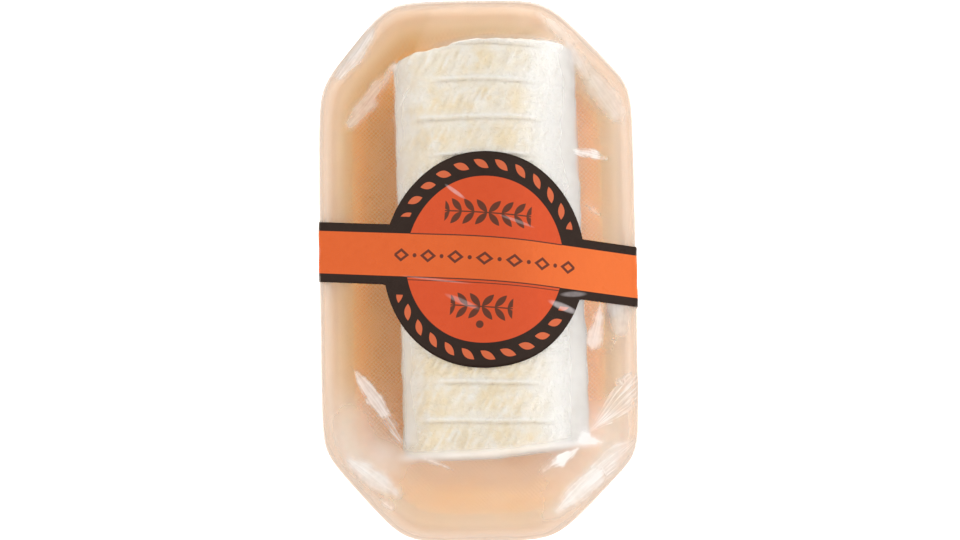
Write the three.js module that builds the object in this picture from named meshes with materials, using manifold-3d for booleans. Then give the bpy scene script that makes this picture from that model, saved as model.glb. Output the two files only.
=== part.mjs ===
// A soft cheese log in its shop pack: a shallow tray, the white-rinded log lying in it,
// clear film drawn tight round both, and a paper band with a round middle stuck over the film.
// Millimetres, +Z up. The pack lies on its base with its long side along Y, and the origin is
// on the table under the middle of the pack.

import * as THREE from 'three';
import { ConvexGeometry } from 'three/addons/geometries/ConvexGeometry.js';
import { LoftGeometry } from 'three/addons/geometries/LoftGeometry.js';
import { mergeVertices } from 'three/addons/utils/BufferGeometryUtils.js';
import Module from 'manifold-3d';

// Sheets and the air between them
const FILM = 0.4;
const PAPER = 0.4;
const GAP = 0.3;

// Tray
const TRAY_WIDTH = 74.8;
const TRAY_LENGTH = 129.4;
const TRAY_HEIGHT = 27.6;
const TRAY_WALL = 1.2;
const TRAY_FILLET = 4.0;
const CORNERS = {                   // where each cut corner faces, and how far out its face stands
  nearLeft: { facing: THREE.MathUtils.degToRad(41.6), reach: 57.0 },
  nearRight: { facing: THREE.MathUtils.degToRad(45.0), reach: 58.4 },
  farLeft: { facing: THREE.MathUtils.degToRad(39.1), reach: 57.2 },
  farRight: { facing: THREE.MathUtils.degToRad(43.8), reach: 57.6 },
};
const OUTLINE_POWER = 30;           // a higher power runs the outline's faces together in tighter curves
const OUTLINE_POINTS = 64;
const POINT_CROWDING = 0.7;         // gathers the outline's points at its corners
const SIDE_BOW = 0.014;             // the sides and ends are not quite straight
const END_BOW = 0.016;
const SIDE_DRAFT = 5.0;             // how far the wall's foot stands in from its top
const END_DRAFT = 5.2;
const CORNER_DRAFT = 4.8;
const LIP_WIDTH = 1.5;
const LIP_THICKNESS = 1.1;
const LIP_ROUND = 0.4;
const LIP_OVERHANG = 0.9;
const PANEL_RISE = 0.4;             // the floor's middle panel stands proud of its edge
const PANEL_INSET = 3.0;

// Cheese log, lying along Y
const LOG_LENGTH = 98.6;
const LOG_WIDTH = 44.6;
const LOG_HEIGHT = 41.6;
const LOG_FLAT = 1.2;               // how much of the round underside has settled flat
const LOG_PLACE = new THREE.Vector2(3.0, 4.6);      // it lies off the middle of the tray
const LOG_TURN = THREE.MathUtils.degToRad(1.1);
const LOG_TAPER = 0.02;
const LOG_EDGE = 2.2;               // rounding where the end faces meet the side
const LOG_END_SWELL = 0.6;
const LOG_END_LEAN = 0.11;          // each end is cut back on one side
const LOG_SIDES = 36;
const GROOVE_PITCH = 9.0;           // marks of the draining rack
const GROOVE_OFFSET = 2.8;
const GROOVE_SLANT = 0.04;          // the marks run a little askew to the log
const GROOVE_DEPTH = 0.75;
const GROOVE_WIDTH = 0.9;
const BAND_SWELL = 0.35;
const LUMP = 0.25;
const LUMP_WAVES = [
  { height: 1.0, along: 0.09, round: 2, start: 0.7 },
  { height: 0.5, along: 0.23, round: -3, start: 1.9 },
];
const STATION_SHARES = [-0.5, -0.24, -0.09, 0, 0.09, 0.24];     // rings near each groove, in pitches
const END_FACE_INSET = LOG_WIDTH / 4;
const ROUNDING_STEPS = 4;           // rings in each rounded edge of the tray and the log

// Label
const DISC_HALF_WIDTH = 23.8;       // seen from above, where it falls away over the log
const DISC_HALF_LENGTH = 25.6;
const DISC_CENTRE = new THREE.Vector2(1.6, 0.7);
const BAND_WIDTH = 14.4;
const BAND_CENTRE = new THREE.Vector2(0, 1.0);
const BAND_TURN = THREE.MathUtils.degToRad(-5.0);
const BAND_FOOT = 5.0;              // the band's ends stop this far above the table
const DISC_POINTS = 28;

// Film opening in the underside, where its tucked edges end
const TUCK = 15.0;

const LOOKS = {
  tray: { color: 0xe8bd97, roughness: 0.5, metalness: 0 },
  cheese_log: { color: 0xf1e8d8, roughness: 0.8, metalness: 0 },
  film: { color: 0xffffff, roughness: 0.08, metalness: 0, transparent: true, opacity: 0.2 },
  label: { color: 0xd9622f, roughness: 0.35, metalness: 0 },
};

const TRAY_BASE = FILM + GAP;
const FLOOR_TOP = TRAY_WALL + PANEL_RISE;
const LOG_CENTRE_HEIGHT = TRAY_BASE + FLOOR_TOP + GAP + LOG_HEIGHT / 2 - LOG_FLAT;
const PACK_TOP = TRAY_BASE + TRAY_HEIGHT + LOG_HEIGHT;

const wasm = await Module();
wasm.setup();

// Turns a closed three.js geometry into a solid that can be joined and cut.
function toSolid(geometry) {
  const bare = geometry.clone();
  bare.deleteAttribute('normal');
  bare.deleteAttribute('uv');
  const merged = mergeVertices(bare, 1e-4);
  const mesh = new wasm.Mesh({
    numProp: 3,
    vertProperties: Float32Array.from(merged.getAttribute('position').array),
    triVerts: Uint32Array.from(merged.getIndex().array),
  });
  return new wasm.Manifold(mesh);
}

// Turns a solid back into a three.js geometry.
function toGeometry(solid) {
  const mesh = solid.getMesh();
  const geometry = new THREE.BufferGeometry();
  geometry.setAttribute('position', new THREE.BufferAttribute(mesh.vertProperties, 3));
  geometry.setIndex(new THREE.BufferAttribute(mesh.triVerts, 1));
  geometry.computeVertexNormals();
  return geometry;
}

// The corners are not cut alike.
function cornerAt(x, y) {
  if (y < 0) return x < 0 ? CORNERS.nearLeft : CORNERS.nearRight;
  return x < 0 ? CORNERS.farLeft : CORNERS.farRight;
}

// One ring of the tray's plan outline: flat sides, ends and cut corners that curve into each other.
// inset moves every face inwards, and fall runs from 0 at the rim to 1 at the foot of the wall.
function outlineRing(inset, fall, z) {
  const halfWidth = TRAY_WIDTH / 2 - inset - SIDE_DRAFT * fall;
  const halfLength = TRAY_LENGTH / 2 - inset - END_DRAFT * fall;
  const cornerInset = inset + CORNER_DRAFT * fall;
  const ring = [];
  for (let i = 0; i < OUTLINE_POINTS; i++) {
    const step = (2 * Math.PI * i) / OUTLINE_POINTS;
    const turn = step + (POINT_CROWDING * Math.sin(4 * step)) / 4;
    const x = halfWidth * Math.cos(turn);
    const y = halfLength * Math.sin(turn);
    const side = Math.abs(x) / halfWidth;
    const end = Math.abs(y) / halfLength;
    const { facing, reach } = cornerAt(x, y);
    const outwards = Math.abs(x) * Math.cos(facing) + Math.abs(y) * Math.sin(facing);
    const cut = outwards / (reach - cornerInset);
    const sum = side ** OUTLINE_POWER + end ** OUTLINE_POWER + cut ** OUTLINE_POWER;
    const size = sum ** (1 / OUTLINE_POWER);
    const bowedX = (x / size) * (1 - SIDE_BOW * (y / size / halfLength) ** 2);
    const bowedY = (y / size) * (1 - END_BOW * (x / size / halfWidth) ** 2);
    ring.push(new THREE.Vector3(bowedX, bowedY, TRAY_BASE + z));
  }
  return ring;
}

function wallFall(z) {
  return 1 - z / TRAY_HEIGHT;
}

// The outside of the tray from its flat underside to the top of its lip, grown outwards by grow.
function trayOutside(grow) {
  const rings = [];
  for (let i = 0; i <= ROUNDING_STEPS; i++) {
    const angle = (i / ROUNDING_STEPS) * (Math.PI / 2);
    const reach = TRAY_FILLET + grow;
    const inset = LIP_OVERHANG + TRAY_FILLET - reach * Math.sin(angle);
    const z = TRAY_FILLET - reach * Math.cos(angle);
    rings.push(outlineRing(inset, wallFall(Math.max(z, 0)), z));
  }
  const lipFoot = TRAY_HEIGHT - LIP_THICKNESS;
  rings.push(outlineRing(LIP_OVERHANG - grow, wallFall(lipFoot), lipFoot));
  rings.push(outlineRing(-grow, 0, lipFoot));
  rings.push(outlineRing(-grow, 0, TRAY_HEIGHT - LIP_ROUND));
  rings.push(outlineRing(LIP_ROUND - grow, 0, TRAY_HEIGHT + grow));
  return rings;
}

// The inside of the tray from the lip down the wall to the floor and its raised middle panel.
function trayInside() {
  const rings = [];
  const inside = LIP_OVERHANG + TRAY_WALL;
  rings.push(outlineRing(LIP_WIDTH, 0, TRAY_HEIGHT));
  const wallTop = TRAY_HEIGHT - LIP_THICKNESS;
  rings.push(outlineRing(inside, wallFall(wallTop), wallTop));
  for (let i = ROUNDING_STEPS; i >= 0; i--) {
    const angle = (i / ROUNDING_STEPS) * (Math.PI / 2);
    const inset = inside + TRAY_FILLET * (1 - Math.sin(angle));
    const z = TRAY_WALL + TRAY_FILLET * (1 - Math.cos(angle));
    rings.push(outlineRing(inset, wallFall(z), z));
  }
  rings.push(outlineRing(inside + TRAY_FILLET + PANEL_INSET, 1, FLOOR_TOP));
  return rings;
}

function makeTray() {
  return new LoftGeometry([...trayOutside(0), ...trayInside()], { capStart: true, capEnd: true });
}

// How far the side of the log stands in at a place along it: deep in a groove, a little near one.
function grooveInset(along) {
  const steps = (along - GROOVE_OFFSET) / GROOVE_PITCH;
  const distance = Math.abs(steps - Math.round(steps)) * GROOVE_PITCH;
  const swell = BAND_SWELL * (1 - distance / (GROOVE_PITCH / 2)) ** 2;
  return swell + GROOVE_DEPTH * Math.exp(-((distance / GROOVE_WIDTH) ** 2));
}

// Low, slow unevenness of a hand-turned log.
function lump(along, angle) {
  let total = 0;
  for (const wave of LUMP_WAVES) {
    total += wave.height * Math.sin(wave.along * along + wave.round * angle + wave.start);
  }
  return LUMP * total;
}

// One ring round the log, with inset taken off its radius and its place along the axis given.
function logRing(along, inset) {
  const share = along / (LOG_LENGTH / 2);
  const ring = [];
  for (let i = 0; i < LOG_SIDES; i++) {
    const angle = (2 * Math.PI * i) / LOG_SIDES;
    const uneven = lump(along, angle) - inset;
    const x = (LOG_WIDTH / 2 * (1 - LOG_TAPER * share) + uneven) * Math.cos(angle);
    const z = (LOG_HEIGHT / 2 + uneven) * Math.sin(angle);
    const floor = -LOG_HEIGHT / 2 + LOG_FLAT;
    const cutBack = share > 0 ? Math.min(x, 0) : Math.max(x, 0);
    const slant = GROOVE_SLANT * x * (1 - share ** 2);
    const y = along - slant + LOG_END_LEAN * cutBack * Math.abs(share) ** 3;
    ring.push(new THREE.Vector3(x, y, Math.max(z, floor)));
  }
  return ring;
}

// Places along the log, close together at each groove.
function logStations() {
  const half = LOG_LENGTH / 2 - LOG_EDGE;
  const offsets = STATION_SHARES.map((share) => share * GROOVE_PITCH);
  const first = Math.ceil((-half - GROOVE_OFFSET) / GROOVE_PITCH) - 1;
  const last = Math.floor((half - GROOVE_OFFSET) / GROOVE_PITCH) + 1;
  const stations = [];
  for (let groove = first; groove <= last; groove++) {
    for (const offset of offsets) {
      const along = GROOVE_OFFSET + groove * GROOVE_PITCH + offset;
      if (Math.abs(along) < half) stations.push(along);
    }
  }
  return stations;
}

// Rings of a rounded end, from the side of the log to the middle of the end face.
function logEnd(sign, grow) {
  const rings = [];
  for (let i = 0; i <= ROUNDING_STEPS; i++) {
    const angle = (i / ROUNDING_STEPS) * (Math.PI / 2);
    const reach = LOG_EDGE + grow;
    const along = LOG_LENGTH / 2 - LOG_EDGE + reach * Math.sin(angle);
    const inset = LOG_EDGE - reach * Math.cos(angle);
    rings.push(logRing(sign * along, inset + grooveInset(sign * along)));
  }
  const middle = LOG_LENGTH / 2 + grow + LOG_END_SWELL;
  rings.push(logRing(sign * middle, END_FACE_INSET));
  return rings;
}

function logRings(grow) {
  const side = logStations().map((along) => logRing(along, grooveInset(along) - grow));
  return [...logEnd(-1, grow).reverse(), ...side, ...logEnd(1, grow)];
}

function makeLog() {
  const rings = logRings(0).map((ring) => ring.reverse());
  return new LoftGeometry(rings, { capStart: true, capEnd: true });
}

const logPlace = new THREE.Matrix4()
  .makeRotationZ(LOG_TURN)
  .setPosition(LOG_PLACE.x, LOG_PLACE.y, LOG_CENTRE_HEIGHT);

// The form that a tight wrap takes round the tray and the log, standing off them by grow.
function wrapForm(grow) {
  const points = trayOutside(grow).flat();
  for (const point of logRings(grow).flat()) {
    points.push(point.applyMatrix4(logPlace));
  }
  return toSolid(new ConvexGeometry(points));
}

// An upright prism of a plan shape, from the height low to above the pack.
function upright(shape, low) {
  const prism = new THREE.ExtrudeGeometry(shape, { depth: PACK_TOP - low, bevelEnabled: false });
  prism.translate(0, 0, low);
  return toSolid(prism);
}

function makeFilm() {
  const ring = outlineRing(LIP_OVERHANG + TUCK, 1, 0);
  const opening = new THREE.Shape(ring.map((point) => new THREE.Vector2(point.x, point.y)));
  const hollow = wrapForm(GAP);
  const mouth = new THREE.ExtrudeGeometry(opening, { depth: 2 * TRAY_BASE, bevelEnabled: false });
  mouth.translate(0, 0, -TRAY_BASE);
  return toGeometry(wrapForm(GAP + FILM).subtract(hollow).subtract(toSolid(mouth)));
}

function makeLabel() {
  const standOff = GAP + FILM + GAP;
  const disc = new THREE.Shape();
  disc.absellipse(DISC_CENTRE.x, DISC_CENTRE.y, DISC_HALF_WIDTH, DISC_HALF_LENGTH, 0, 2 * Math.PI);
  const band = new THREE.Shape();
  const reach = TRAY_WIDTH;
  const across = new THREE.Vector2(reach, 0).rotateAround(new THREE.Vector2(), BAND_TURN);
  const up = new THREE.Vector2(0, BAND_WIDTH / 2).rotateAround(new THREE.Vector2(), BAND_TURN);
  band.setFromPoints([
    BAND_CENTRE.clone().sub(across).sub(up),
    BAND_CENTRE.clone().add(across).sub(up),
    BAND_CENTRE.clone().add(across).add(up),
    BAND_CENTRE.clone().sub(across).add(up),
  ]);
  const round = new THREE.Shape(disc.getSpacedPoints(2 * DISC_POINTS).slice(0, -1));
  const outline = upright(round, BAND_FOOT).add(upright(band, BAND_FOOT));
  return toGeometry(wrapForm(standOff + PAPER).subtract(wrapForm(standOff)).intersect(outline));
}

function addMesh(group, name, geometry) {
  const mesh = new THREE.Mesh(geometry, new THREE.MeshStandardMaterial(LOOKS[name]));
  mesh.name = name;
  group.add(mesh);
  return mesh;
}

const pack = new THREE.Group();
addMesh(pack, 'tray', makeTray());
addMesh(pack, 'cheese_log', makeLog()).applyMatrix4(logPlace);
addMesh(pack, 'film', makeFilm());
addMesh(pack, 'label', makeLabel());

export default pack;
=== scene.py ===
import itertools
import math
from collections import namedtuple

import bpy
import numpy as np
from mathutils import Matrix, Vector


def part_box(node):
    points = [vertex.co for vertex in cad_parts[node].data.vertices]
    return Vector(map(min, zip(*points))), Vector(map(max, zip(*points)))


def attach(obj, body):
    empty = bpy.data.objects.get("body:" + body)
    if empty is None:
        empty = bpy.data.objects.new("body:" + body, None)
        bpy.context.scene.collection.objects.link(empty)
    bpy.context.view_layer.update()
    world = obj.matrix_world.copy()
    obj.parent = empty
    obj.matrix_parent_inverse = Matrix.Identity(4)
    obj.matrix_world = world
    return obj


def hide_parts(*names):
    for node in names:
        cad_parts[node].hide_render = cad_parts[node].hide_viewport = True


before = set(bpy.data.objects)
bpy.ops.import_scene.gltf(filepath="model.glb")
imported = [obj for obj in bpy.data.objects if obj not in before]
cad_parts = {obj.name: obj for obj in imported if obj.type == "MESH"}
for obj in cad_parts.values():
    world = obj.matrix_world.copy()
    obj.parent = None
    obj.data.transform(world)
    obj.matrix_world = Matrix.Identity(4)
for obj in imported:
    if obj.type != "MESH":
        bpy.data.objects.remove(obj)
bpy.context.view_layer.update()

# Shapes are worked out in millimetres in the pack's own frame, and become metres in add_piece.
MM = 0.001


def node_box(node):
    """A solid's lowest and highest corners in millimetres."""
    low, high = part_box(node)
    return np.array(low) / MM, np.array(high) / MM


TRAY_LOW, TRAY_HIGH = node_box("tray")
LOG_LOW, LOG_HIGH = node_box("cheese_log")

# Tray
HALF_WIDTH = TRAY_HIGH[0]
HALF_LENGTH = TRAY_HIGH[1]
TRAY_BASE = TRAY_LOW[2]
RIM = TRAY_HIGH[2]
TRAY_HEIGHT = RIM - TRAY_BASE
# Where each cut corner faces and how far out it stands: near left, near right, far left, far right
CORNER_FACINGS = np.radians([41.6, 45.0, 39.1, 43.8])
CORNER_REACHES = np.array([57.0, 58.4, 57.2, 57.6])
OUTLINE_POWER = 30
SIDE_BOW = 0.014
END_BOW = 0.016
SIDE_DRAFT = 5.0
END_DRAFT = 5.2
CORNER_DRAFT = 4.8
WALL = 1.2
FILLET = 4.0
LIP_FLAT = 0.7  # inset where the lip starts to turn down into the wall
LIP_DROP = 2.8
LIP_OVERHANG = 0.9
LIP_THICKNESS = 1.1
LIP_REACH = 0.4  # past the solid tray's outline, up to the film
INSIDE_WALL = LIP_OVERHANG + WALL
PANEL_RISE = 0.4
PANEL_INSET = 3.0
LATTICE_PITCH = 0.78  # of the fine marks pressed into the floor

# Cheese log
LOG_LENGTH = 98.6
LOG_WIDTH = 44.6
LOG_HEIGHT = 41.6
LOG_FLAT = 1.2
LOG_PLACE = (3.0, 4.6)
LOG_TURN = math.radians(1.1)
LOG_TAPER = 0.02
LOG_EDGE = 2.2
LOG_END_SWELL = 0.6
LOG_END_LEAN = 0.11
LOG_CENTRE_HEIGHT = LOG_LOW[2] + LOG_HEIGHT / 2 - LOG_FLAT
GROOVE_PITCH = 9.0
GROOVE_OFFSET = 2.8
GROOVE_SLANT = 0.04
RIND_PROUD = 0.45  # as far as the rind stands out towards the film

# Label
DISC_RADIUS = 25.6
RING_INSIDE = 19.7
DISC_PLACE = (1.6, -0.2)
BAND_WIDTH = 14.4
STRIPE = 2.1
BAND_CENTRE = (0.0, 1.0)
BAND_TURN = math.radians(-5.0)
BAND_FOOT = 5.2
BAND_REACH = 66.0  # half the band's flat length
PAPER_TOP = 0.30  # heights of the paper's two faces over the film
PAPER_BACK = 0.16

# Film
FILM_OFF = 0.6  # stands off what it touches
FILM_FOOT = 0.15  # height of the tucked edges over the table
TUCK = 15.0
STREAK_PITCH = 0.6
STREAK_LENGTH = 8.0
OUTSIDE = -1.6  # stands for any place outside a mark


def smoothstep(low, high, value):
    share = np.clip((value - low) / (high - low), 0, 1)
    return share * share * (3 - 2 * share)


# Numbers that scatter the noise lattice
LATTICE_PRIMES = (73856093, 19349663, 83492791)
SEED_PRIME = 7919
SCATTER = 1274126177
WORD = 0xFFFFFFFF
LOW_BITS = 0xFFFF


def value_noise(points, seed):
    """Smooth noise from -1 to 1 on an array of points, with one lattice cell to a unit."""
    cell = np.floor(points).astype(np.int64)
    part = points - cell
    part = part * part * (3 - 2 * part)
    total = np.zeros(points.shape[:-1])
    for corner in itertools.product((0, 1), repeat=3):
        lattice = (cell + np.array(corner)) * np.array(LATTICE_PRIMES)
        mixed = lattice[..., 0] ^ lattice[..., 1] ^ lattice[..., 2]
        mixed = (mixed + seed * SEED_PRIME) & WORD
        mixed = ((mixed ^ (mixed >> 13)) * SCATTER) & WORD
        value = ((mixed ^ (mixed >> 16)) & LOW_BITS) / (LOW_BITS / 2) - 1
        weight = np.prod(np.where(np.array(corner) == 1, part, 1 - part), axis=-1)
        total += weight * value
    return total


def fractal(points, seed, octaves):
    """Noise with finer noise of half the height added for each further octave."""
    total = np.zeros(points.shape[:-1])
    for octave in range(octaves):
        total += value_noise(points * 2.0 ** octave, seed + octave) / 2.0 ** octave
    return total


def joined(*columns):
    """Points from their x, y and z, or faces from their corners."""
    return np.stack(columns, axis=-1)


def turned_plan(x, y, angle):
    """Plan places turned about the origin."""
    c, s = math.cos(angle), math.sin(angle)
    return x * c - y * s, x * s + y * c


def flat_points(x, y, scale, lift=0.0):
    """Plan places as noise points, one cell to scale millimetres."""
    return joined(x / scale, y / scale, np.full_like(x, lift))


# Meshes

def grid_faces(rows, columns, wrap):
    """Quads of a grid of points, stored row by row, closed round each row if wrap."""
    start = np.arange(rows - 1)[:, None] * columns
    below = start + columns
    column = np.arange(columns if wrap else columns - 1)[None, :]
    after = (column + 1) % columns
    corners = [start + column, start + after, below + after, below + column]
    return joined(*np.broadcast_arrays(*corners)).reshape(-1, 4)


def grid_ends(rows, columns):
    """The first and last rows of a grid that is closed round each row, as faces."""
    last = (rows - 1) * columns
    return [list(range(columns))[::-1], list(range(last, last + columns))]


def crowded_turns(columns, crowding):
    """Angles round the pack, closer together at its corners."""
    steps = np.linspace(0, 2 * np.pi, columns, endpoint=False)
    return steps + crowding * np.sin(4 * steps) / 4


def add_piece(name, points, faces, material, node, values, ends=()):
    """A smooth mesh that rides on the pack and stands for a solid. values are numbers for each point."""
    mesh = bpy.data.meshes.new(name)
    loops = [tuple(face) for face in faces.tolist()] + [tuple(end) for end in ends]
    mesh.from_pydata((points.reshape(-1, 3) * MM).tolist(), [], loops)
    mesh.validate()
    for label, numbers in values.items():
        layer = mesh.attributes.new(label, "FLOAT", "POINT")
        layer.data.foreach_set("value", np.ascontiguousarray(numbers, dtype=np.float32).ravel())
    mesh.shade_smooth()
    mesh.materials.append(material)
    piece = bpy.data.objects.new(name, mesh)
    bpy.context.scene.collection.objects.link(piece)
    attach(piece, "root")
    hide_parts(node)


# Plan outline shared by the tray and the film

def outline_size(x, y, half_width, half_length, corner_inset):
    """1 on the outline, less inside it. The four corners are not cut back alike."""
    corner = (x >= 0) + 2 * (y >= 0)
    facing = CORNER_FACINGS[corner]
    outwards = np.abs(x) * np.cos(facing) + np.abs(y) * np.sin(facing)
    cut = outwards / (CORNER_REACHES[corner] - corner_inset)
    side = np.abs(x) / half_width
    end = np.abs(y) / half_length
    return (side ** OUTLINE_POWER + end ** OUTLINE_POWER + cut ** OUTLINE_POWER) ** (1 / OUTLINE_POWER)


def outline(turns, inset, fall):
    """Plan points of the outline, moved in by inset and by the wall's draft at a fall of 0 to 1."""
    half_width = HALF_WIDTH - inset - SIDE_DRAFT * fall
    half_length = HALF_LENGTH - inset - END_DRAFT * fall
    x = half_width * np.cos(turns)
    y = half_length * np.sin(turns)
    size = outline_size(x, y, half_width, half_length, inset + CORNER_DRAFT * fall)
    x, y = x / size, y / size
    bowed_x = x * (1 - SIDE_BOW * (y / half_length) ** 2)
    bowed_y = y * (1 - END_BOW * (x / half_width) ** 2)
    return bowed_x, bowed_y


def fall_at(z):
    """0 at the tray's rim and 1 at its base, for a height over the base."""
    return 1 - z / TRAY_HEIGHT


# Shader helpers

def new_material(name):
    material = bpy.data.materials.new(name)
    material.use_nodes = True
    tree = material.node_tree
    shader = tree.nodes["Principled BSDF"]
    return material, tree, shader


def feed(tree, socket, value):
    """Link a socket's value, or set a number or colour."""
    if isinstance(value, bpy.types.NodeSocket):
        tree.links.new(value, socket)
    else:
        socket.default_value = value


def feed_all(tree, node, values):
    for name, value in values.items():
        feed(tree, node.inputs[name], value)


def calc(tree, operation, *values):
    """A Math node's result."""
    node = tree.nodes.new("ShaderNodeMath")
    node.operation = operation
    for socket, value in zip(node.inputs, values):
        feed(tree, socket, value)
    return node.outputs[0]


def times(tree, first, second):
    return calc(tree, "MULTIPLY", first, second)


def plus(tree, first, second):
    return calc(tree, "ADD", first, second)


def minus(tree, first, second):
    return calc(tree, "SUBTRACT", first, second)


def scaled(tree, value, factor, added):
    """value times factor, plus what is added."""
    return calc(tree, "MULTIPLY_ADD", value, factor, added)


def soft_step(tree, value, low, high):
    """0 below low, 1 above high, smooth between, with low above high to turn it round."""
    node = tree.nodes.new("ShaderNodeMapRange")
    node.interpolation_type = "SMOOTHSTEP"
    feed_all(tree, node, {
        "Value": value,
        "From Min": min(low, high),
        "From Max": max(low, high),
        "To Min": float(low > high),
        "To Max": float(low < high),
    })
    return node.outputs["Result"]


def blend_colour(tree, share, first, second):
    """The first colour where share is 0 and the second where it is 1."""
    node = tree.nodes.new("ShaderNodeMix")
    node.data_type = "RGBA"
    feed_all(tree, node, {"Factor": share, "A": first, "B": second})
    return node.outputs["Result"]


def noise(tree, scale, detail=3.0, roughness=0.55):
    """Noise over the object's own space, scale cells to a metre."""
    place = tree.nodes.new("ShaderNodeTexCoord").outputs["Object"]
    node = tree.nodes.new("ShaderNodeTexNoise")
    feed_all(tree, node, {"Vector": place, "Scale": scale, "Detail": detail, "Roughness": roughness})
    return node.outputs["Fac"]


def place_on(tree):
    """The object's own X, Y and Z sockets, in metres."""
    place = tree.nodes.new("ShaderNodeTexCoord").outputs["Object"]
    split = tree.nodes.new("ShaderNodeSeparateXYZ")
    feed(tree, split.inputs[0], place)
    return split.outputs


def reach_of(tree, x, y):
    """Distance from the origin in a plane."""
    return calc(tree, "SQRT", plus(tree, times(tree, x, x), times(tree, y, y)))


def mix_numbers(tree, share, first, second):
    """Numbers blended, first where share is 0 and second where it is 1."""
    rest = minus(tree, 1.0, share)
    return plus(tree, times(tree, second, share), times(tree, first, rest))


def point_value(tree, name):
    """A number that each point of the mesh carries."""
    node = tree.nodes.new("ShaderNodeAttribute")
    node.attribute_name = name
    return node.outputs["Fac"]


def bump(tree, height, distance, strength=1.0):
    """A normal that follows a height, with its full range as deep as distance in metres."""
    node = tree.nodes.new("ShaderNodeBump")
    feed_all(tree, node, {"Height": height, "Distance": distance, "Strength": strength})
    return node.outputs["Normal"]


# Materials, with linear colours and the alpha that their sockets need

TRAY_FLOOR = (0.97, 0.63, 0.31, 1), (0.98, 0.67, 0.35, 1)
TRAY_DRAWN = (0.95, 0.71, 0.56, 1)
# Painted shade: the lip colour, the pit colour and the outside colours are darker copies of the peach
# plastic.
TRAY_LIP_SHADE = (0.58, 0.48, 0.40, 1)
TRAY_PIT_SHADE = (0.96, 0.50, 0.18, 1)
TRAY_OUTSIDE_SHADE = (0.48, 0.30, 0.17, 1), (0.54, 0.34, 0.20, 1)


def tray_material():
    """Peach plastic, paler inside the wall, with a lattice pressed in. Painted shade: darker in the
    lattice's pits, less so at the near end, and darker copies of the plastic on the lip and outside.
    """
    material, tree, shader = new_material("tray_plastic")
    x, y, _ = place_on(tree)
    turn = 2 * math.pi / (LATTICE_PITCH * MM * math.sqrt(2))
    along = calc(tree, "SINE", times(tree, x, turn))
    across = calc(tree, "SINE", times(tree, y, turn))
    worn = soft_step(tree, noise(tree, 350, 3), 0.30, 0.62)
    lattice = times(tree, times(tree, along, across), worn)
    mark = point_value(tree, "emboss")
    relief = times(tree, lattice, mark)
    cloud = noise(tree, 60, 2)
    floor = blend_colour(tree, cloud, *TRAY_FLOOR)
    drawn = blend_colour(tree, point_value(tree, "drawn"), floor, TRAY_DRAWN)
    light = blend_colour(tree, point_value(tree, "lip"), drawn, TRAY_LIP_SHADE)
    # Painted shade in the lattice's pits, as strong as the emboss numbers.
    pit = minus(tree, 1.0, scaled(tree, relief, 0.5, 0.5))
    shade = times(tree, pit, times(tree, mark, 0.8))
    inner = blend_colour(tree, shade, light, TRAY_PIT_SHADE)
    outer = blend_colour(tree, cloud, *TRAY_OUTSIDE_SHADE)
    colour = blend_colour(tree, point_value(tree, "outside"), inner, outer)
    feed_all(tree, shader, {
        "Base Color": colour,
        "Roughness": scaled(tree, noise(tree, 400, 2), 0.15, 0.36),
        "Subsurface Weight": 0.85,
        "Subsurface Radius": (1.0, 0.8, 0.68),
        "Subsurface Scale": 0.0045,
        "Normal": bump(tree, relief, 0.00006),
    })
    return material


RIND_WARM = (0.87, 0.81, 0.71, 1), (0.93, 0.89, 0.81, 1)
RIND_BLOOM = (0.93, 0.91, 0.87, 1)
RIND_PASTE = (0.86, 0.68, 0.41, 1), (0.90, 0.77, 0.55, 1)
# Painted highlight on raised rind, painted shade on sunk rind and in the creases.
RIND_RAISED_HIGHLIGHT = (0.96, 0.93, 0.88, 1)
RIND_SUNK_SHADE = (0.70, 0.60, 0.45, 1)
RIND_CREASE_SHADE = (0.64, 0.57, 0.47, 1)


def rind_material():
    """White bloom over cream paste, warmer where the bloom is thin; painted shade down in the creases and
    sunk strokes, painted highlight on the ridges and raised strokes.
    """
    material, tree, shader = new_material("cheese_rind")
    warm = blend_colour(tree, noise(tree, 420, 3), *RIND_WARM)
    white = blend_colour(tree, point_value(tree, "bloom"), warm, RIND_BLOOM)
    paste = blend_colour(tree, noise(tree, 320, 3), *RIND_PASTE)
    thin = soft_step(tree, noise(tree, 260, 4, 0.62), 0.22, 0.60)
    cream = times(tree, point_value(tree, "cream"), thin)
    colour = blend_colour(tree, cream, white, paste)
    # Painted highlight and painted shade from the relief.
    for name, strength, tint in (
        ("raised", 0.6, RIND_RAISED_HIGHLIGHT),
        ("sunk_shade", 0.55, RIND_SUNK_SHADE),
        ("crease_shade", 0.42, RIND_CREASE_SHADE),
    ):
        share = times(tree, point_value(tree, name), strength)
        colour = blend_colour(tree, share, colour, tint)
    fine = plus(tree, noise(tree, 1100, 4, 0.6), noise(tree, 500, 3, 0.6))
    feed_all(tree, shader, {
        "Base Color": colour,
        "Roughness": 0.62,
        "Subsurface Weight": 0.06,
        "Subsurface Radius": (1.0, 0.7, 0.4),
        "Subsurface Scale": 0.0012,
        "Normal": bump(tree, fine, 0.0007),
    })
    return material


def film_streaks(tree):
    """Fine streaks that run along each mark, partly crease whitening and partly painted glint."""
    place = tree.nodes.new("ShaderNodeCombineXYZ")
    feed_all(tree, place, {"X": point_value(tree, "across"), "Y": point_value(tree, "along")})
    node = tree.nodes.new("ShaderNodeTexNoise")
    feed_all(tree, node, {"Vector": place.outputs[0], "Scale": 1.0, "Detail": 3.0})
    return node.outputs["Fac"]


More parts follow.
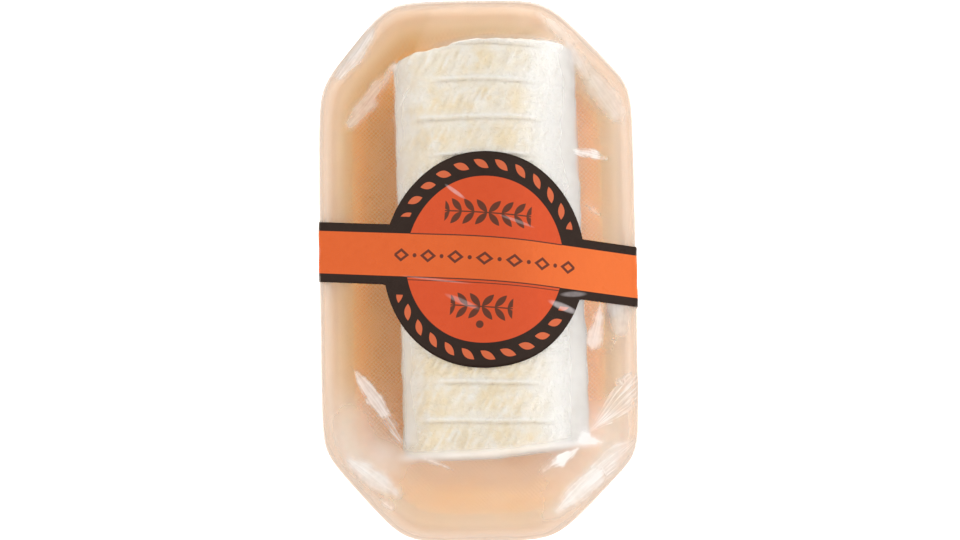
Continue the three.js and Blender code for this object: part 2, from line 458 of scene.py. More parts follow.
def film_mark(tree):
    """How white each mark is, partly crease whitening and partly painted glint: crisp or hazy at its edge,
    filled or lined inside.
    """
    streak = film_streaks(tree)
    mottle = noise(tree, 300, 3, 0.55)
    uneven = minus(tree, mottle, 0.5)
    mottled = scaled(tree, uneven, 2.0, point_value(tree, "edge"))
    ragged = scaled(tree, minus(tree, streak, 0.5), 1.4, mottled)
    crisp = soft_step(tree, ragged, -0.3, 0.7)
    hazy = soft_step(tree, mottled, -1.5, 2.2)
    body = mix_numbers(tree, point_value(tree, "soft"), crisp, hazy)
    filled = scaled(tree, plus(tree, streak, mottle), 0.8, 0.2)
    lined = scaled(tree, soft_step(tree, streak, 0.44, 0.68), 1.1, 0.2)
    inner = mix_numbers(tree, point_value(tree, "lines"), filled, lined)
    return times(tree, times(tree, body, inner), point_value(tree, "white"))


FILM_CLEAR = (0.87, 0.84, 0.81, 1)
# The rim's tint carries the painted reflection along the rim.
FILM_RIM_REFLECTION = (0.70, 0.57, 0.47, 1)


def film_material():
    """Clear film: a mirror as faint as its angle to the eye makes it, whitened where it is creased, with
    painted glints in its marks and painted reflection and painted light in its veil.
    """
    material, tree, shader = new_material("clear_film")
    cloud = noise(tree, 90, 3)
    weight = tree.nodes.new("ShaderNodeLayerWeight")
    weight.inputs["Blend"].default_value = 0.5
    slant = calc(tree, "POWER", weight.outputs["Facing"], 5.0)
    shine = scaled(tree, slant, 0.2, 0.04)
    uneven = scaled(tree, cloud, 0.8, 0.6)
    # The veil: painted reflection and painted light, with the film's gathered layers at the corners.
    veil = times(tree, point_value(tree, "veil"), uneven)
    haze = plus(tree, film_mark(tree), veil)
    clean = soft_step(tree, haze, 0.08, 0.0)
    feed_all(tree, shader, {
        "Base Color": blend_colour(tree, point_value(tree, "rim"), FILM_CLEAR, FILM_RIM_REFLECTION),
        "Roughness": scaled(tree, cloud, 0.10, 0.08),
        "Alpha": calc(tree, "MINIMUM", plus(tree, shine, haze), 0.9),
        "Metallic": times(tree, clean, 0.9),
        "Normal": bump(tree, noise(tree, 260, 3, 0.5), 0.0002, 0.5),
    })
    return material


def leaf(tree, along, across, length, width):
    """1 inside a lens-shaped leaf about the origin."""
    share = calc(tree, "DIVIDE", along, length / 2)
    narrowed = minus(tree, 1.0, times(tree, share, share))
    half_width = times(tree, narrowed, width / 2)
    edge = minus(tree, half_width, calc(tree, "ABSOLUTE", across))
    return soft_step(tree, edge, -0.04, 0.04)


def turned(tree, x, y, angle):
    """x and y in axes turned by angle."""
    c, s = math.cos(angle), math.sin(angle)
    first = plus(tree, times(tree, x, c), times(tree, y, s))
    second = minus(tree, times(tree, y, c), times(tree, x, s))
    return first, second


def repeated(tree, value, pitch):
    """value folded into cells of one pitch, from minus half a pitch to half a pitch."""
    shifted = plus(tree, value, pitch / 2)
    return minus(tree, calc(tree, "FLOORED_MODULO", shifted, pitch), pitch / 2)


EDGE_BLUR = 0.05  # half the soft edge of the print, in millimetres of flat paper


def inside(tree, value, limit):
    """1 where the size of value is under limit."""
    return soft_step(tree, calc(tree, "ABSOLUTE", value), limit + EDGE_BLUR, limit - EDGE_BLUR)


def both(tree, first, second):
    """1 where two shapes overlap."""
    return times(tree, first, second)


def either(tree, first, second):
    """1 where either of two shapes is."""
    return calc(tree, "MAXIMUM", first, second)


def dot(tree, x, y, radius):
    """1 inside a circle about the origin."""
    return soft_step(tree, reach_of(tree, x, y), radius + EDGE_BLUR, radius - EDGE_BLUR)


def ring_leaves(tree, x, y, reach):
    """Slanted leaves that run round the ring, above and below the band."""
    count = 30
    middle = (DISC_RADIUS + RING_INSIDE) / 2
    angle = calc(tree, "ARCTAN2", y, x)
    step = repeated(tree, angle, 2 * math.pi / count)
    along = times(tree, step, middle)
    across = minus(tree, reach, middle)
    along, across = turned(tree, along, across, math.radians(32))
    clear = soft_step(tree, calc(tree, "ABSOLUTE", y), 9.2, 9.4)
    return both(tree, leaf(tree, along, across, 4.0, 1.7), clear)


def sprig(tree, x, y, height, half_length):
    """A level stem with leaves that lean outwards from its middle, above and below it."""
    level = minus(tree, y, height)
    out = calc(tree, "ABSOLUTE", x)
    stem = both(tree, inside(tree, level, 0.16), inside(tree, x, half_length))
    pitch = 3.0
    cell = repeated(tree, minus(tree, out, pitch / 2), pitch)
    raised = minus(tree, calc(tree, "ABSOLUTE", level), 1.5)
    along, across = turned(tree, cell, raised, math.radians(48))
    leaves = both(tree, leaf(tree, along, across, 4.0, 1.5), inside(tree, x, half_length))
    return either(tree, stem, leaves)


def lozenges(tree, x, y):
    """A row of lozenges with a dot between each two, along the middle of the band."""
    pitch = 7.0
    cell = repeated(tree, x, pitch)
    wide = calc(tree, "DIVIDE", calc(tree, "ABSOLUTE", cell), 2.1)
    high = calc(tree, "DIVIDE", calc(tree, "ABSOLUTE", y), 1.6)
    size = plus(tree, wide, high)
    outer = soft_step(tree, size, 1.03, 0.97)
    core = soft_step(tree, size, 0.55, 0.49)
    shape = minus(tree, outer, core)
    between = repeated(tree, minus(tree, x, pitch / 2), pitch)
    row = either(tree, shape, dot(tree, between, y, 0.5))
    return both(tree, row, inside(tree, x, 3.25 * pitch))


# (u, v) of each painted glint on the coated paper, its turn in degrees, half length, half width and
# strength
PAPER_GLINTS = [
    (-6.6, 15.4, -32, 3.0, 0.5, 0.30),
    (-3.0, -10.5, -20, 4.6, 0.7, 0.16),
    (22.0, -9.6, -14, 4.2, 0.9, 0.36),
    (24.5, -6.2, 8, 3.6, 0.7, 0.20),
    (8.6, 9.4, -14, 4.4, 0.4, 0.16),
    (-10.0, -5.6, -4, 9.0, 0.3, 0.14),
]


def glints(tree, u, v):
    """How pale the painted glints make the paper at each place."""
    total = 0.0
    for place_u, place_v, turn, half_length, half_width, strength in PAPER_GLINTS:
        from_u = minus(tree, u, place_u)
        from_v = minus(tree, v, place_v)
        along, across = turned(tree, from_u, from_v, math.radians(turn))
        long = calc(tree, "POWER", calc(tree, "DIVIDE", along, half_length), 2.0)
        wide = calc(tree, "POWER", calc(tree, "DIVIDE", across, half_width), 2.0)
        glint = soft_step(tree, plus(tree, long, wide), 1.3, 0.2)
        total = scaled(tree, glint, strength, total)
    return times(tree, total, scaled(tree, noise(tree, 700, 3), 0.8, 0.6))


PRINT_BLACK = (0.020, 0.009, 0.005, 1), (0.032, 0.017, 0.011, 1)
PRINT_ORANGE = (0.67, 0.110, 0.021, 1), (0.72, 0.13, 0.028, 1)
# Painted light: the orange is lighter towards the right.
ORANGE_LIT_RIGHT = (0.86, 0.19, 0.040, 1)
PRINT_DEEP = (0.61, 0.072, 0.018, 1), (0.66, 0.086, 0.023, 1)
PRINT_RING_LEAF = (0.62, 0.13, 0.05, 1)
PRINT_SPRIG = (0.12, 0.035, 0.018, 1)
PRINT_RULE = (0.10, 0.03, 0.018, 1)
PRINT_LOZENGE = (0.14, 0.035, 0.018, 1)
# Pale tint of the painted glints.
PAPER_GLINT = (0.90, 0.80, 0.80, 1)
# How far each thin rule over the disc lies past the orange band's edge, half its width, and 1 up or -1 down
RULES = [(0.05, 0.14, 1), (0.05, 0.14, -1), (0.75, 0.10, -1)]


def thin_rules(tree, v, half_orange):
    """Thin rules along the edges of the orange band."""
    total = 0.0
    for past, half_width, way in RULES:
        from_rule = minus(tree, v, way * (half_orange + past))
        total = either(tree, inside(tree, from_rule, half_width), total)
    return total


def label_material():
    """Coated paper: black ring and stripes on orange, with leaves, lozenges and dots, painted glints, and
    the orange painted lighter towards the right as painted light.
    """
    material, tree, shader = new_material("label_paper")
    u = point_value(tree, "flat_u")
    v = point_value(tree, "flat_v")
    x = minus(tree, u, DISC_PLACE[0])
    y = minus(tree, v, DISC_PLACE[1])
    reach = reach_of(tree, x, y)
    in_core = soft_step(tree, reach, RING_INSIDE + 0.06, RING_INSIDE - 0.06)
    half_orange = BAND_WIDTH / 2 - STRIPE

    grain = noise(tree, 500, 4)
    black = blend_colour(tree, grain, *PRINT_BLACK)
    orange = blend_colour(tree, grain, *PRINT_ORANGE)
    # Painted light: the orange grows lighter towards the right.
    lit_right = times(tree, soft_step(tree, u, 0.0, 36.0), 0.6)
    orange = blend_colour(tree, lit_right, orange, ORANGE_LIT_RIGHT)
    deep = blend_colour(tree, grain, *PRINT_DEEP)

    ring = blend_colour(tree, ring_leaves(tree, x, y, reach), black, PRINT_RING_LEAF)
    colour = blend_colour(tree, in_core, ring, deep)
    sprigs = either(tree, sprig(tree, x, y, 11.0, 10.4), sprig(tree, x, y, -11.2, 7.4))
    sprigs = either(tree, sprigs, dot(tree, x, plus(tree, y, 15.4), 0.9))
    colour = blend_colour(tree, both(tree, sprigs, in_core), colour, PRINT_SPRIG)
    colour = blend_colour(tree, inside(tree, v, half_orange), colour, orange)
    colour = blend_colour(tree, both(tree, thin_rules(tree, v, half_orange), in_core), colour, PRINT_RULE)
    colour = blend_colour(tree, lozenges(tree, x, v), colour, PRINT_LOZENGE)
    # Painted glints on the paper.
    colour = blend_colour(tree, glints(tree, u, v), colour, PAPER_GLINT)
    wave = scaled(tree, noise(tree, 600, 3), 0.25, noise(tree, 160, 3))
    feed_all(tree, shader, {
        "Base Color": colour,
        "Roughness": scaled(tree, noise(tree, 150, 3), 0.2, 0.2),
        "Specular IOR Level": 0.14,
        "Normal": bump(tree, wave, 0.0006, 0.6),
    })
    return material


TABLE_WHITE = (0.93, 0.93, 0.93, 1), (0.95, 0.95, 0.95, 1)
GLOW_PLACE = -3.0  # middle of the painted shadow under the pack
GLOW_COVERED = (1.0, 0.60, 0.34, 1)
GLOW_OPEN = (1, 1, 1, 1)


def floor_material():
    """A bright white table that glows: painted light that is brighter on the right, and a dimmer, warmer
    painted shadow where the pack covers it.
    """
    material, tree, shader = new_material("white_floor")
    x, y, _ = place_on(tree)
    wide = calc(tree, "DIVIDE", minus(tree, x, GLOW_PLACE * MM), HALF_WIDTH * MM)
    long = calc(tree, "DIVIDE", y, HALF_LENGTH * MM)
    reach = calc(tree, "MAXIMUM", calc(tree, "ABSOLUTE", wide), calc(tree, "ABSOLUTE", long))
    # Painted shadow: the floor glows less, and warmer, under the pack.
    open_share = soft_step(tree, reach, 0.55, 1.1)
    # Painted light: the glow is brighter on the right.
    right = scaled(tree, soft_step(tree, x, 0.0, HALF_WIDTH * MM), 0.65, 1.05)
    feed_all(tree, shader, {
        "Base Color": blend_colour(tree, noise(tree, 8, 2), *TABLE_WHITE),
        "Roughness": 0.9,
        "Emission Color": blend_colour(tree, open_share, GLOW_COVERED, GLOW_OPEN),
        "Emission Strength": scaled(tree, open_share, right, 0.40),
    })
    return material


# Tray

RING_STEPS = 10  # rings in each bend of the tray's section
FLOOR_RINGS = 16
BASE_RINGS = 5
TRAY_COLUMNS = 320
# Inset from the outline, share of the wall's draft, height over the base, and numbers for the looks
Ring = namedtuple("Ring", "inset fall z emboss drawn lip")


def outer_rings():
    """Rings of the tray from its underside up to the lip."""
    rings = []
    for i in range(RING_STEPS + 1):
        angle = i / RING_STEPS * math.pi / 2
        inset = LIP_OVERHANG + FILLET * (1 - math.sin(angle))
        z = FILLET * (1 - math.cos(angle))
        rings.append(Ring(inset, fall_at(z), z, emboss=0, drawn=i / RING_STEPS, lip=0))
    under_lip = TRAY_HEIGHT - LIP_THICKNESS
    for i in range(1, RING_STEPS + 1):
        z = FILLET + (under_lip - FILLET) * i / RING_STEPS
        rings.append(Ring(LIP_OVERHANG, fall_at(z), z, emboss=0, drawn=1, lip=0))
    return rings


def lip_rings():
    """Rings from the lip's underside over its edge and top to where it turns down into the wall."""
    rings = []
    rounding = LIP_THICKNESS / 2
    for i in range(RING_STEPS + 1):
        angle = (i / RING_STEPS - 0.5) * math.pi
        inset = rounding * (1 - math.cos(angle)) - LIP_REACH
        z = TRAY_HEIGHT - rounding + rounding * math.sin(angle)
        rings.append(Ring(inset, 0, z, emboss=0, drawn=1, lip=1))
    for i in range(1, RING_STEPS + 1):
        angle = i / RING_STEPS * math.pi / 2
        inset = LIP_FLAT + (INSIDE_WALL - LIP_FLAT) * math.sin(angle)
        z = TRAY_HEIGHT - LIP_DROP * (1 - math.cos(angle))
        rings.append(Ring(inset, fall_at(z), z, emboss=0, drawn=1, lip=1 - 0.6 * i / RING_STEPS))
    return rings


def inner_rings():
    """Rings down the inside of the wall, round its foot and up onto the floor's panel."""
    rings = []
    top = TRAY_HEIGHT - LIP_DROP
    low = WALL + FILLET
    for i in range(1, 2 * RING_STEPS + 1):
        share = i / (2 * RING_STEPS)
        z = top + (low - top) * share
        fall = fall_at(z)
        emboss = 0.5 * smoothstep(0.2, 0.8, fall)
        # The lip's painted shade fades down the top of the inside wall.
        rings.append(Ring(INSIDE_WALL, fall, z, emboss, drawn=1, lip=0.4 * smoothstep(0.35, 0.0, share)))
    for i in range(1, RING_STEPS + 1):
        share = i / RING_STEPS
        angle = (1 - share) * math.pi / 2
        inset = INSIDE_WALL + FILLET * (1 - math.sin(angle))
        z = WALL + FILLET * (1 - math.cos(angle))
        rings.append(Ring(inset, fall_at(z), z, emboss=0.5 + 0.5 * share, drawn=1 - share, lip=0))
    for i in range(1, RING_STEPS + 1):
        share = i / RING_STEPS
        inset = INSIDE_WALL + FILLET + PANEL_INSET * share
        z = WALL + PANEL_RISE * smoothstep(0, 1, share)
        rings.append(Ring(inset, 1, z, emboss=1, drawn=0, lip=0))
    return rings


def make_tray():
    turns = crowded_turns(TRAY_COLUMNS, 0.5)
    outer = outer_rings()
    points = []
    marks = []
    for number, (inset, fall, z, *looks) in enumerate(outer + lip_rings() + inner_rings()):
        x, y = outline(turns, inset, fall)
        points.append(joined(x, y, np.full_like(x, TRAY_BASE + z)))
        marks.append((*looks, number < len(outer)))
    panel_edge = points[-1]
    for share in np.linspace(0.94, 0.06, FLOOR_RINGS):
        points.append(panel_edge * [share, share, 1])
        marks.append((1, 0, 0, 0))
    base_edge = points[0]
    for share in np.linspace(0.9, 0.1, BASE_RINGS):
        points.insert(0, base_edge * [share, share, 1])
        marks.insert(0, (0, 0, 0, 1))
    points = np.array(points)
    marks = np.repeat(np.array(marks, dtype=float)[:, None, :], TRAY_COLUMNS, axis=1)
    values = {name: marks[..., i] for i, name in enumerate(("emboss", "drawn", "lip", "outside"))}
    # The lattice's bump and its painted pit shade are weaker at the near end.
    values["emboss"] = values["emboss"] * (0.4 + 0.9 * smoothstep(-50, -30, points[..., 1]))
    rows = len(points)
    faces = grid_faces(rows, TRAY_COLUMNS, True)
    add_piece("tray_shell", points, faces, tray_material(), "tray", values,
              grid_ends(rows, TRAY_COLUMNS))


# Cheese log

CAP_RINGS = 22
BEND_RINGS = 12
SIDE_RINGS = 316
LOG_COLUMNS = 240


def log_profile():
    """Places along the log and the share of its radius there, from one end's middle to the other's."""
    half = LOG_LENGTH / 2
    share_edge = 1 - LOG_EDGE / (LOG_WIDTH / 2)
    cap = np.linspace(0.02, share_edge, CAP_RINGS)
    angles = np.linspace(0, np.pi / 2, BEND_RINGS)[1:]
    bend_along = half - LOG_EDGE + LOG_EDGE * np.cos(angles)
    bend_share = share_edge + (1 - share_edge) * np.sin(angles)
    side = np.linspace(half - LOG_EDGE, -(half - LOG_EDGE), SIDE_RINGS)[1:-1]
    swell = LOG_END_SWELL * (1 - (cap / share_edge) ** 2)
    far_along = np.concatenate([half + swell, bend_along])
    far_share = np.concatenate([cap, bend_share])
    along = np.concatenate([far_along, side, -far_along[::-1]])
    share = np.concatenate([far_share, np.ones(len(side)), far_share[::-1]])
    return along, share


def cut_back(x, along):
    """How far each end of the log is cut back on one side of it."""
    place = along / (LOG_LENGTH / 2)
    side = np.where(place > 0, np.minimum(x, 0), np.maximum(x, 0))
    return LOG_END_LEAN * side * np.abs(place) ** 3


def groove_distance(along):
    """Signed distance to the nearest rack mark, and that mark's number."""
    steps = (along - GROOVE_OFFSET) / GROOVE_PITCH
    number = np.round(steps)
    return (steps - number) * GROOVE_PITCH, number


def rack_marks(x, y, top):
    """Distance to the nearest mark of the draining rack, and the valley and ridge of the mark."""
    wobble = 0.35 * value_noise(flat_points(x, y, 9.0), 21)
    distance, number = groove_distance(y + wobble + GROOVE_SLANT * x)
    reach = 13.0 + 2.0 * np.sin(2.3 * number + 0.8)
    middle = -1.0 + 1.2 * np.sin(1.7 * number)
    span = top * smoothstep(reach + 2.5, reach - 3.0, np.abs(x - middle))
    valley = span * np.exp(-((distance + 0.15) / 0.26) ** 2)
    ridge = span * np.exp(-((distance - 0.65) / 0.45) ** 2)
    return distance, valley, ridge


def rind_strokes(x, y):
    """Slanting strokes of thicker and thinner rind, in patches, from -1 to 1."""
    lean = math.radians(62)
    bent = y + 1.2 * value_noise(flat_points(x, y, 5.0), 35)
    along, across = turned_plan(x, bent, -lean)
    strokes = value_noise(joined(along / 3.4, across / 0.75, np.zeros_like(x)), 31)
    patches = 0.5 + 0.5 * smoothstep(-0.6, 0.2, value_noise(flat_points(x, y, 8.0), 41))
    return patches * strokes


def log_relief(points, top):
    """How far the rind stands out or in at each point, with numbers for its colours, which paint shade in
    the creases and sunk strokes, highlight on the ridges and raised strokes, and light on the right side.
    """
    x, y = points[..., 0], points[..., 1]
    lumps = 0.30 * fractal(points / 13.0, 3, 2) + 0.15 * fractal(points / 4.0, 5, 2)
    grain = 0.08 * fractal(points / 1.4, 8, 2)
    distance, valley, ridge = rack_marks(x, y, top)
    pillow = (1 - np.abs(distance) / (GROOVE_PITCH / 2)) ** 2
    band_middle = smoothstep(0.12, 0.34, np.abs(distance) / GROOVE_PITCH)
    # The bloom's white is the rind's own; that it is whiter towards the right is painted light from that
    # side.
    bloom = smoothstep(4.0, 16.0, x)
    stroke = top * (0.3 + 0.7 * band_middle) * rind_strokes(x, y) * (1 - 0.5 * bloom)
    relief = lumps + grain + 0.36 * ridge - 0.50 * valley - 0.28 * pillow + 0.34 * stroke

    blotch = fractal(flat_points(x, y, 4.0, 2.0), 51, 3)
    cream = (1 - bloom) * (0.60 + 0.40 * top * band_middle)
    cream *= 0.45 + 0.55 * smoothstep(-0.9, 0.6, blotch)
    cream *= 1 + 0.4 * smoothstep(10, -40, y)
    # crease and sunk carry painted shade, raised carries painted highlight.
    numbers = {
        "crease_shade": valley,
        "raised": np.maximum(stroke, 0) + ridge,
        "sunk_shade": np.maximum(-stroke, 0),
        "cream": cream,
        "bloom": bloom,
    }
    shares = {name: np.clip(value, 0, 1) for name, value in numbers.items()}
    return np.minimum(relief, RIND_PROUD), shares


def grid_normals(points):
    """Outward directions on a grid of points that is closed round each row."""
    down = np.gradient(points, axis=0)
    along_row = np.roll(points, -1, axis=1) - np.roll(points, 1, axis=1)
    normal = np.cross(down, along_row)
    normal = normal / np.maximum(np.linalg.norm(normal, axis=-1, keepdims=True), 1e-9)
    middle = len(points) // 2
    outwards = np.sum(normal[middle] * points[middle])
    return normal if outwards >= 0 else -normal


def place_log(points):
    """From the log's own frame to the pack's."""
    x, y = turned_plan(points[..., 0], points[..., 1], LOG_TURN)
    return joined(x + LOG_PLACE[0], y + LOG_PLACE[1], points[..., 2] + LOG_CENTRE_HEIGHT)


def make_log():
    along, share = log_profile()
    rows = len(along)
    steps = np.linspace(0, 2 * np.pi, LOG_COLUMNS, endpoint=False)
    angle = steps + 0.5 * np.cos(steps)  # closer together on top
    place = along[:, None] / (LOG_LENGTH / 2)
    x = LOG_WIDTH / 2 * (1 - LOG_TAPER * place) * share[:, None] * np.cos(angle)
    z = LOG_HEIGHT / 2 * share[:, None] * np.sin(angle)
    y = along[:, None] + cut_back(x, along[:, None])
    points = joined(x, y, z)
    upwards = np.broadcast_to(np.sin(angle), x.shape)
    top = smoothstep(0.1, 0.75, upwards) * smoothstep(0.5, 0.95, share)[:, None]
    relief, values = log_relief(points, top)
    points = points + grid_normals(points) * relief[..., None]
    points[..., 2] = np.maximum(points[..., 2], -LOG_HEIGHT / 2 + LOG_FLAT)
    faces = grid_faces(rows, LOG_COLUMNS, True)
    add_piece("cheese_log_rind", place_log(points), faces, rind_material(), "cheese_log",
              values, grid_ends(rows, LOG_COLUMNS))


# Film

OVER_RINGS = 140
DOWN_RINGS = 44
UNDER_RINGS = 14
FILM_COLUMNS = 480


def to_log(x, y):
    """Plan points in the log's own frame, with its ends made square."""
    local_x, local_y = turned_plan(x - LOG_PLACE[0], y - LOG_PLACE[1], -LOG_TURN)
    return local_x, local_y - cut_back(local_x, local_y)


def film_rest(x, y):
    """Height at which the film lies on the log over plan points, very low beside it."""
    local_x, local_y = to_log(x, y)
    edge = LOG_EDGE + FILM_OFF
    left = LOG_LENGTH / 2 + FILM_OFF - np.abs(local_y)
    bend = np.clip(edge - left, 0, edge)
    inset = edge - np.sqrt(edge ** 2 - bend ** 2)
    half_width = LOG_WIDTH / 2 * (1 - LOG_TAPER * local_y / (LOG_LENGTH / 2)) + FILM_OFF - inset
    half_height = LOG_HEIGHT / 2 + FILM_OFF - inset
    under = 1 - (local_x / half_width) ** 2
    height = LOG_CENTRE_HEIGHT + half_height * np.sqrt(np.clip(under, 0, 1))
    very_low = -1e3
    return np.where((under > 0) & (left > 0), height, very_low)


def painted_log_fringe(x, y):
    """Haze of the film along the log's sides and ends, more at the near end: painted light that lightens
    the log's shaded flanks, and painted reflection over its ends.
    """
    local_x, local_y = to_log(x, y)
    past_end = np.abs(local_y) - LOG_LENGTH / 2
    near = 0.34 * smoothstep(25, 20, np.abs(local_x)) * np.exp(-((past_end - 0.1) / 1.1) ** 2)
    far = 0.20 * smoothstep(19, 10, np.abs(local_x - 3)) * np.exp(-((past_end + 0.5) / 1.2) ** 2)
    past_side = np.abs(local_x) - LOG_WIDTH / 2
    strength = np.where(local_x < 0, 0.28, 0.16)
    sides = strength * smoothstep(0.0, -1.2, past_side) * smoothstep(-8.0, -1.2, past_side)
    return np.where(local_y < 0, near, far) + sides * smoothstep(-1.0, -4.0, past_end)


# Each hazy place of the film over the foot of a near corner, partly its gathered layers and partly painted
# glare: x, y, its reach in x and y, and its strength
CORNER_LAYERS_AND_GLARE = [
    (-31.0, -38.5, 8.0, 8.5, 0.34),
    (-23.0, -45.0, 5.0, 4.5, 0.28),
    (28.5, -38.0, 6.0, 6.0, 0.26),
]


def corner_layers_and_glare(x, y):
    """Haze of the film where it hangs over the tray's near corners: partly its gathered layers, partly
    painted glare.
    """
    total = np.zeros_like(x)
    for place_x, place_y, reach_x, reach_y, strength in CORNER_LAYERS_AND_GLARE:
        total += strength * np.exp(-((x - place_x) / reach_x) ** 2 - ((y - place_y) / reach_y) ** 2)
    return total


def film_layers_and_painted_light(x, y):
    """Haze of the film over plan points, most of it painted reflection and painted light: at the sides, the
    near end and corners, and round the log.
    """
    # Brighter on the right: painted reflection of the light from that side. Paler at the near end: painted
    # reflection.
    sides = 0.18 * smoothstep(8, 24, x) + 0.05 * smoothstep(-26, -34, x)
    near_end = 0.20 * smoothstep(-38, -50, y)
    return sides + near_end + painted_log_fringe(x, y) + corner_layers_and_glare(x, y)


class Membrane:
    """Film stretched from the rim over the log: as low as its tension lets it, but not into the log."""

    def __init__(self, step=0.8, rounds=1500):
        self.step = step
        margin = 3
        self.xs = np.arange(-HALF_WIDTH - margin, HALF_WIDTH + margin + step, step)
        self.ys = np.arange(-HALF_LENGTH - margin, HALF_LENGTH + margin + step, step)
        x, y = np.meshgrid(self.xs, self.ys, indexing="ij")
        size = outline_size(x, y, HALF_WIDTH, HALF_LENGTH, 0)
        rim = RIM + FILM_OFF
        floor = np.maximum(film_rest(x, y), rim)
        free = size < 0.985
        height = np.where(free, np.maximum(floor, rim + (LOG_HIGH[2] - rim) * (1 - size)), rim)
        for _ in range(rounds):
            beside = np.roll(height, 1, 0) + np.roll(height, -1, 0)
            around = beside + np.roll(height, 1, 1) + np.roll(height, -1, 1)
            height = np.where(free, np.maximum(around / 4, floor), rim)
        self.height = height

    def __call__(self, x, y):
        """Height at plan points, between the grid's."""
        i = np.clip((x - self.xs[0]) / self.step, 0, len(self.xs) - 1.001)
        j = np.clip((y - self.ys[0]) / self.step, 0, len(self.ys) - 1.001)
        i0, j0 = i.astype(int), j.astype(int)
        a, b = i - i0, j - j0
        h = self.height
        low = h[i0, j0] * (1 - a) + h[i0 + 1, j0] * a
        high = h[i0, j0 + 1] * (1 - a) + h[i0 + 1, j0 + 1] * a
        return low * (1 - b) + high * b


# Each whitened mark in plan, partly crease whitening and partly a painted glint: start, end, half widths
# along it, whiteness, share of lines, softness
FILM_CREASES_AND_GLINTS = [
    ((-24.8, 58.4), (-32.8, 47.6), (0.8, 2.2, 2.6, 1.4), 0.62, 0.2, 0.7),
    ((-19.4, 48.3), (-30.1, 35.2), (0.8, 1.4, 2.0, 2.2, 1.2), 0.36, 0.1, 0.7),
    ((-22.4, 44.3), (-24.9, 40.9), (0.05, 0.3, 0.05), 0.30, 0.0, 0.2),
    ((-18.9, 48.9), (-21.9, 46.7), (0.3, 0.7, 0.2), 0.40, 0.0, 0.3),
    ((15.8, 61.5), (23.7, 53.9), (0.6, 1.8, 1.6, 0.6), 0.26, 0.2, 0.9),
    ((22.6, 53.6), (27.0, 45.5), (0.8, 1.6, 1.0), 0.36, 0.1, 0.8),
    ((25.1, 49.3), (33.8, 37.4), (0.4, 1.7, 2.8, 3.2, 2.4), 0.30, 0.0, 1.0),
    ((23.8, 27.0), (32.2, 25.5), (0.6, 1.1, 0.8, 0.05), 0.65, 0.0, 0.1),
    ((25.6, 14.6), (31.0, 10.8), (0.1, 0.6, 0.5, 0.1), 0.24, 0.3, 0.5),
    ((29.2, -9.4), (27.3, -18.6), (0.5, 0.9, 1.4, 1.7, 1.8), 0.45, 0.0, 0.4),
    # Painted light over the label's shadow on the tray's right wall.
    ((33.4, -8.0), (33.4, -15.0), (2.6, 2.6, 1.6), 0.30, 0.0, 1.0),
    ((33.0, -16.5), (31.5, -20.5), (0.1, 0.4, 0.1), 0.30, 0.0, 0.3),
    ((32.6, -27.4), (34.5, -27.4), (0.1, 0.4, 0.1), 0.50, 0.0, 0.2),
    ((-30.3, -23.6), (-22.8, -34.6), (0.05, 1.1, 1.7, 1.9, 1.2), 0.52, 0.1, 0.1),
    ((-24.6, -32.0), (-18.6, -41.4), (1.6, 1.5, 1.2, 0.5), 0.42, 0.8, 0.1),
    ((-31.2, -45.5), (-20.6, -53.2), (0.9, 2.0, 2.2, 0.9), 0.44, 0.1, 0.9),
    ((-24.1, -54.9), (-21.5, -56.9), (0.2, 0.7, 0.2), 0.45, 0.0, 0.5),
    ((-13.3, -45.7), (-6.5, -48.6), (0.1, 0.4, 0.1), 0.42, 0.0, 0.2),
    ((-15.6, 42.9), (-19.9, 35.2), (0.05, 0.25, 0.25, 0.05), 0.40, 0.0, 0.2),
    ((24.3, -41.0), (28.6, -42.2), (1.6, 1.0, 0.2), 0.55, 0.0, 0.6),
    ((26.0, -39.6), (36.2, -29.8), (0.3, 1.3, 2.6, 3.6, 4.0), 0.38, 0.9, 0.3),
    ((25.6, -51.6), (36.5, -42.3), (2.2, 2.8, 3.0, 2.6, 0.9), 0.40, 0.6, 0.7),
    ((27.4, -50.2), (18.2, -58.0), (2.2, 2.3, 2.0, 0.7), 0.52, 0.3, 0.7),
    ((23.0, -43.7), (14.7, -48.9), (0.15, 0.9, 1.4, 0.8, 0.1), 0.60, 0.0, 0.1),
]


def along_line(x, y, start, end):
    """Share of the way along a line and distance to its side, for plan points."""
    start, end = np.array(start, dtype=float), np.array(end, dtype=float)
    way = end - start
    length = np.hypot(*way)
    share = ((x - start[0]) * way[0] + (y - start[1]) * way[1]) / length ** 2
    side = ((x - start[0]) * way[1] - (y - start[1]) * way[0]) / length
    return share, side, length


def mark_values(x, y):
    """How far inside its mark each plan point is, its look, and its place over and along the streaks."""
    found = {name: np.zeros_like(x) for name in ("white", "lines", "soft", "across", "along")}
    found["edge"] = np.full_like(x, OUTSIDE)
    best = np.zeros_like(x)
    for number, (start, end, widths, white, lines, soft) in enumerate(FILM_CREASES_AND_GLINTS):
        share, side, length = along_line(x, y, start, end)
        width = np.interp(share, np.linspace(0, 1, len(widths)), widths)
        past = np.maximum(np.maximum(-share, share - 1), 0) * length
        edge = width - np.hypot(side, past)
        weight = white * smoothstep(OUTSIDE, 0.6, edge)
        ahead = weight > best
        best = np.where(ahead, weight, best)
        streak = side / np.maximum(width, 0.2) * max(widths) / STREAK_PITCH
        values = {"white": white, "lines": lines, "soft": soft, "across": streak,
                  "along": share * length / STREAK_LENGTH + 7.3 * number, "edge": edge}
        for name, value in values.items():
            found[name] = np.where(ahead, value, found[name])
    found["edge"] = np.maximum(found["edge"], OUTSIDE)
    return found


def corner_weight(x, y):
    """1 at the tray's four cut corners, 0 along its sides and ends."""
    turn = np.arctan2(np.abs(y) / HALF_LENGTH, np.abs(x) / HALF_WIDTH)
    return np.exp(-((turn - math.radians(50)) / math.radians(11)) ** 2)


